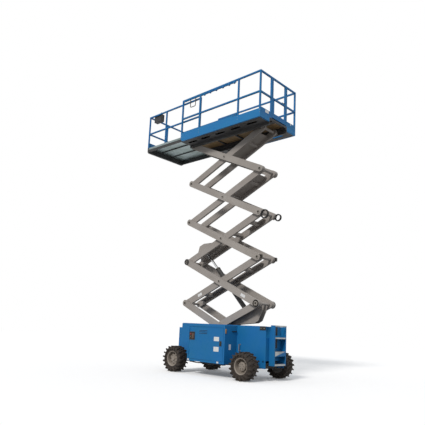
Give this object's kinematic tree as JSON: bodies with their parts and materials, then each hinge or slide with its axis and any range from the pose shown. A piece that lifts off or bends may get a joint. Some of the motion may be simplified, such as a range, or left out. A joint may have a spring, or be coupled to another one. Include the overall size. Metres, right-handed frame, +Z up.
{
  "type": "scissor lift",
  "caption": "Rough-terrain scissor lift on four lugged wheels, with a raised railed platform, roll-out extension deck, lift ram, steering and ladder.",
  "frame": {"origin": "on the ground under the middle of the whole machine's box", "axes": "+X towards the steered end and the extension, +Y to the machine's left, +Z up"},
  "size_m": [4.55, 1.75, 7.6103],
  "materials": {
    "blue_paint": "satin",
    "grey_paint": "satin",
    "rim_paint": "satin",
    "dark_paint": "matte",
    "deck_metal": "brushed",
    "tread_rubber": "matte",
    "rod_chrome": "polished",
    "engine_iron": "rough",
    "control_plastic": "matte"
  },
  "bodies": {
    "chassis": {"chassis_frame": "blue_paint", "front_axle": "dark_paint", "rear_axle": "dark_paint", "tray_left": "blue_paint", "tray_right": "blue_paint", "engine_block": "engine_iron", "tank_block": "dark_paint", "ladder": "blue_paint"},
    "inner_arm_1": {"inner_arm_1": "grey_paint"},
    "outer_arm_1": {"outer_arm_1": "grey_paint"},
    "inner_arm_2": {"inner_arm_2": "grey_paint"},
    "outer_arm_2": {"outer_arm_2": "grey_paint"},
    "inner_arm_3": {"inner_arm_3": "grey_paint"},
    "outer_arm_3": {"outer_arm_3": "grey_paint"},
    "inner_arm_4": {"inner_arm_4": "grey_paint"},
    "outer_arm_4": {"outer_arm_4": "grey_paint"},
    "inner_arm_5": {"inner_arm_5": "grey_paint"},
    "outer_arm_5": {"outer_arm_5": "grey_paint"},
    "ram_barrel": {"ram_barrel": "dark_paint"},
    "ram_rod": {"ram_rod": "rod_chrome"},
    "platform": {"platform_frame": "dark_paint", "platform_band_left": "blue_paint", "platform_band_right": "blue_paint", "platform_deck": "deck_metal", "rails_left": "blue_paint", "rails_right": "blue_paint", "rails_rear": "blue_paint"},
    "gate": {"gate": "blue_paint"},
    "extension": {"extension_frame": "dark_paint", "extension_deck": "deck_metal", "extension_rails": "blue_paint", "platform_controls": "control_plastic"},
    "knuckle_left": {"knuckle_left": "dark_paint"},
    "knuckle_right": {"knuckle_right": "dark_paint"},
    "door_left": {"door_left": "blue_paint"},
    "door_right": {"door_right": "blue_paint"},
    "wheel_front_left": {"tyre_front_left": "tread_rubber", "rim_front_left": "rim_paint"},
    "wheel_front_right": {"tyre_front_right": "tread_rubber", "rim_front_right": "rim_paint"},
    "wheel_rear_left": {"tyre_rear_left": "tread_rubber", "rim_rear_left": "rim_paint"},
    "wheel_rear_right": {"tyre_rear_right": "tread_rubber", "rim_rear_right": "rim_paint"}
  },
  "joints": [
    {"name": "lift", "type": "hinge", "parent": "chassis", "child": "inner_arm_1", "pos_m": [0.669, 0, 0.665], "axis": [0, 1, 0], "range_deg": [-20.66, 32.04]},
    {"name": "cross_1", "type": "hinge", "parent": "inner_arm_1", "child": "outer_arm_1", "pos_m": [-0.54857, 0, 1.23173], "axis": [0, 1, 0], "range_deg": [-65.08, 42.32]},
    {"name": "fold_1", "type": "hinge", "parent": "outer_arm_1", "child": "inner_arm_2", "pos_m": [0.669, 0, 1.79845], "axis": [0, 1, 0], "range_deg": [-42.32, 65.08]},
    {"name": "cross_2", "type": "hinge", "parent": "inner_arm_2", "child": "outer_arm_2", "pos_m": [-0.54857, 0, 2.36518], "axis": [0, 1, 0], "range_deg": [-65.08, 42.32]},
    {"name": "fold_2", "type": "hinge", "parent": "outer_arm_2", "child": "inner_arm_3", "pos_m": [0.669, 0, 2.93191], "axis": [0, 1, 0], "range_deg": [-42.32, 65.08]},
    {"name": "cross_3", "type": "hinge", "parent": "inner_arm_3", "child": "outer_arm_3", "pos_m": [-0.54857, 0, 3.49863], "axis": [0, 1, 0], "range_deg": [-65.08, 42.32]},
    {"name": "fold_3", "type": "hinge", "parent": "outer_arm_3", "child": "inner_arm_4", "pos_m": [0.669, 0, 4.06536], "axis": [0, 1, 0], "range_deg": [-42.32, 65.08]},
    {"name": "cross_4", "type": "hinge", "parent": "inner_arm_4", "child": "outer_arm_4", "pos_m": [-0.54857, 0, 4.63209], "axis": [0, 1, 0], "range_deg": [-65.08, 42.32]},
    {"name": "fold_4", "type": "hinge", "parent": "outer_arm_4", "child": "inner_arm_5", "pos_m": [0.669, 0, 5.19881], "axis": [0, 1, 0], "range_deg": [-42.32, 65.08]},
    {"name": "cross_5", "type": "hinge", "parent": "inner_arm_5", "child": "outer_arm_5", "pos_m": [-0.54857, 0, 5.76554], "axis": [0, 1, 0], "range_deg": [-65.08, 42.32]},
    {"name": "platform_level", "type": "hinge", "parent": "outer_arm_5", "child": "platform", "pos_m": [0.669, 0, 6.33226], "axis": [0, 1, 0], "range_deg": [-21.66, 33.04]},
    {"name": "ram_pivot", "type": "hinge", "parent": "inner_arm_1", "child": "ram_barrel", "pos_m": [-1.47695, 0, 1.37706], "axis": [0, 1, 0], "range_deg": [-57.07, 37.16]},
    {"name": "ram_slide", "type": "slide", "parent": "ram_barrel", "child": "ram_rod", "axis": [0.6847, 0, 0.7288], "range_m": [-0.62299, 0.96065]},
    {"name": "extension_slide", "type": "slide", "parent": "platform", "child": "extension", "axis": [1, 0, 0], "range_m": [-1.455, 0]},
    {"name": "gate_hinge", "type": "hinge", "parent": "platform", "child": "gate", "pos_m": [-2.026, 0.284, 6.47926], "axis": [0, 0, 1], "range_deg": [0, 90]},
    {"name": "steer_left", "type": "hinge", "parent": "chassis", "child": "knuckle_left", "pos_m": [0.52, 0.6, 0.33], "axis": [0, 0, 1], "range_deg": [-30, 30]},
    {"name": "steer_right", "type": "hinge", "parent": "chassis", "child": "knuckle_right", "pos_m": [0.52, -0.6, 0.33], "axis": [0, 0, 1], "range_deg": [-30, 30]},
    {"name": "roll_front_left", "type": "hinge", "parent": "knuckle_left", "child": "wheel_front_left", "pos_m": [0.52, 0.7225, 0.33], "axis": [0, 1, 0], "continuous": true},
    {"name": "roll_front_right", "type": "hinge", "parent": "knuckle_right", "child": "wheel_front_right", "pos_m": [0.52, -0.7225, 0.33], "axis": [0, 1, 0], "continuous": true},
    {"name": "roll_rear_left", "type": "hinge", "parent": "chassis", "child": "wheel_rear_left", "pos_m": [-1.77, 0.7225, 0.33], "axis": [0, 1, 0], "continuous": true},
    {"name": "roll_rear_right", "type": "hinge", "parent": "chassis", "child": "wheel_rear_right", "pos_m": [-1.77, -0.7225, 0.33], "axis": [0, 1, 0], "continuous": true},
    {"name": "door_hinge_left", "type": "hinge", "parent": "chassis", "child": "door_left", "pos_m": [-0.063, 0.839, 0.38], "axis": [0, 0, 1], "range_deg": [-100, 0]},
    {"name": "door_hinge_right", "type": "hinge", "parent": "chassis", "child": "door_right", "pos_m": [-0.063, -0.839, 0.38], "axis": [0, 0, 1], "range_deg": [0, 100]}
  ],
  "couplings": [
    {"joint": "cross_1", "follows": "lift", "ratio": -2},
    {"joint": "fold_1", "follows": "lift", "ratio": 2},
    {"joint": "cross_2", "follows": "lift", "ratio": -2},
    {"joint": "fold_2", "follows": "lift", "ratio": 2},
    {"joint": "cross_3", "follows": "lift", "ratio": -2},
    {"joint": "fold_3", "follows": "lift", "ratio": 2},
    {"joint": "cross_4", "follows": "lift", "ratio": -2},
    {"joint": "fold_4", "follows": "lift", "ratio": 2},
    {"joint": "cross_5", "follows": "lift", "ratio": -2},
    {"joint": "platform_level", "follows": "lift", "ratio": 1},
    {"joint": "ram_pivot", "follows": "lift", "ratio": -1.75},
    {"joint": "ram_slide", "follows": "lift", "m_per_rad": 1.7},
    {"joint": "steer_right", "follows": "steer_left", "ratio": 1}
  ]
}
